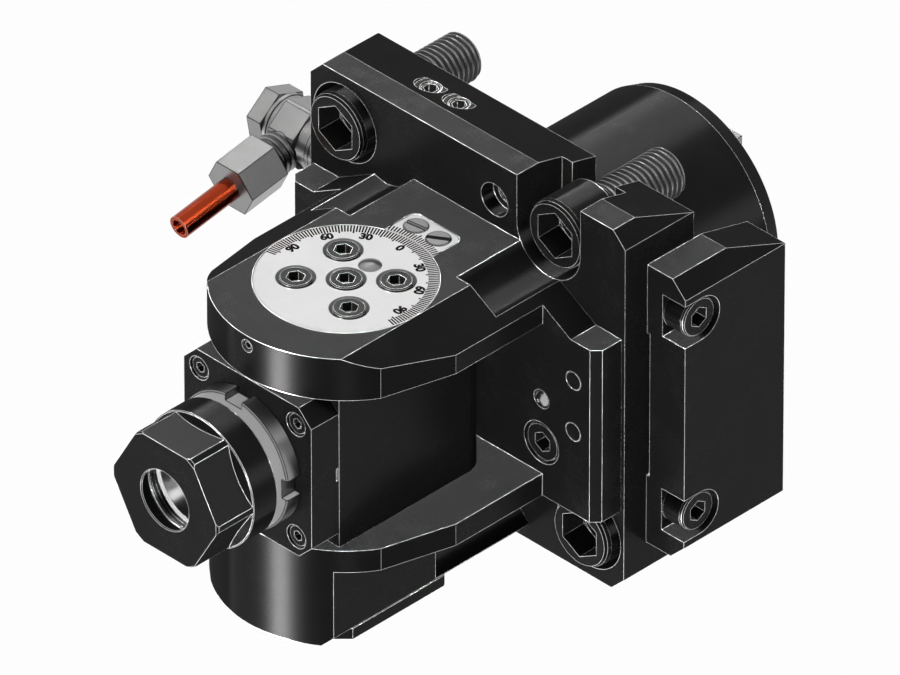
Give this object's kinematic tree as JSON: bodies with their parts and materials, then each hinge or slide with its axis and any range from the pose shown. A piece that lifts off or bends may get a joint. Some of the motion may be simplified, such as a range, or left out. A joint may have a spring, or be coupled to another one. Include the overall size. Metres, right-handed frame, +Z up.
{
  "type": "swivel live tool holder",
  "caption": "Turret mounted live tool holder with a fork, a swivelling gear head with degree dial and vernier, a collet spindle, a spigot with drive tang and a coolant inlet.",
  "frame": {"origin": "centre of the flange's mounting face, on the spigot's axis", "axes": "+Y along the spigot into the turret, +Z up along the swivel axis, +X to the right seen from the work"},
  "size_m": [0.1765, 0.2356, 0.129],
  "materials": {
    "black_oxide": "black oxide, satin",
    "black_screw": "black oxide screw, satin",
    "ground_steel": "ground",
    "bearing_steel": "polished",
    "gear_steel": "ground teeth",
    "plated_steel": "zinc plated, satin",
    "bronze": "sintered bronze",
    "copper": "drawn copper tube",
    "white_dial": "matt white with black engraving"
  },
  "bodies": {
    "root": {"mounting_flange": "black_oxide", "turret_bolts": "black_screw", "flange_plugs": "black_screw", "side_bracket": "black_oxide", "bracket_screws": "black_screw", "fork_housing": "black_oxide", "fork_screws": "black_screw", "fork_dowels": "ground_steel", "wing_plugs": "black_screw", "sealing_ball": "ground_steel", "gear_cover": "black_oxide", "gear_cover_screws": "black_screw", "vernier_plate": "white_dial", "vernier_screws": "plated_steel", "dial_lock_screw": "black_screw", "upper_trunnion_bush": "bronze", "lower_trunnion_bush": "bronze", "drive_bearing_outer_rings": "bearing_steel", "transfer_bearing_outer_rings": "bearing_steel", "idler_pin": "ground_steel", "shaft_cap": "black_oxide", "port_spacer": "plated_steel", "seal_washers": "plated_steel", "banjo_bolt": "plated_steel"},
    "head": {"head_housing": "black_oxide", "head_cover": "black_oxide", "head_cover_screws": "black_screw", "dial": "white_dial", "dial_screws": "black_screw", "dial_pin": "ground_steel", "spindle_bearing_outer_rings": "bearing_steel", "cross_bearing_outer_rings": "bearing_steel"},
    "spindle": {"spindle": "ground_steel", "spanner_ring": "plated_steel", "spindle_bearing_inner_rings": "bearing_steel", "spindle_bearing_balls": "bearing_steel", "spindle_bevel_gear": "gear_steel"},
    "collet_nut": {"collet_nut": "black_oxide"},
    "drive_shaft": {"drive_shaft": "ground_steel", "drive_bearing_inner_rings": "bearing_steel", "drive_bearing_balls": "bearing_steel", "drive_bevel_gear": "gear_steel"},
    "transfer_shaft": {"transfer_shaft": "ground_steel", "transfer_bearing_inner_rings": "bearing_steel", "transfer_bevel_gear": "gear_steel", "transfer_gear": "gear_steel"},
    "idler": {"idler_gear": "gear_steel", "idler_bush": "bronze"},
    "cross_shaft": {"cross_shaft": "ground_steel", "cross_bearing_inner_rings": "bearing_steel", "cross_bevel_gear": "gear_steel", "cross_gear": "gear_steel"},
    "coolant_inlet": {"banjo_body": "plated_steel", "union_nut": "plated_steel", "coolant_pipe": "copper"}
  },
  "joints": [
    {"name": "drive_spin", "type": "hinge", "parent": "root", "child": "drive_shaft", "pos_m": [0, 0, 0], "axis": [0, 1, 0], "continuous": true},
    {"name": "transfer_spin", "type": "hinge", "parent": "root", "child": "transfer_shaft", "pos_m": [0, -0.021, 0], "axis": [0, 0, 1], "continuous": true},
    {"name": "idler_spin", "type": "hinge", "parent": "root", "child": "idler", "pos_m": [0, -0.0495, 0], "axis": [0, 0, 1], "continuous": true},
    {"name": "cross_spin", "type": "hinge", "parent": "root", "child": "cross_shaft", "pos_m": [0, -0.078, 0], "axis": [0, 0, 1], "continuous": true},
    {"name": "swivel", "type": "hinge", "parent": "root", "child": "head", "pos_m": [0, -0.078, 0], "axis": [0, 0, 1], "range_deg": [-90, 90]},
    {"name": "spindle_spin", "type": "hinge", "parent": "head", "child": "spindle", "pos_m": [0, -0.078, 0], "axis": [0, -1, 0], "continuous": true},
    {"name": "nut_travel", "type": "slide", "parent": "spindle", "child": "collet_nut", "axis": [0, -1, 0], "range_m": [0, 0.012]},
    {"name": "coolant_swing", "type": "hinge", "parent": "root", "child": "coolant_inlet", "pos_m": [-0.0648, -0.01415, 0.0216], "axis": [1, 0, 0], "range_deg": [-90, 90]}
  ],
  "couplings": [
    {"joint": "transfer_spin", "follows": "drive_spin", "ratio": 1},
    {"joint": "idler_spin", "follows": "drive_spin", "ratio": -0.9},
    {"joint": "cross_spin", "follows": "drive_spin", "ratio": 1},
    {"joint": "spindle_spin", "follows": "drive_spin", "ratio": 1}
  ]
}
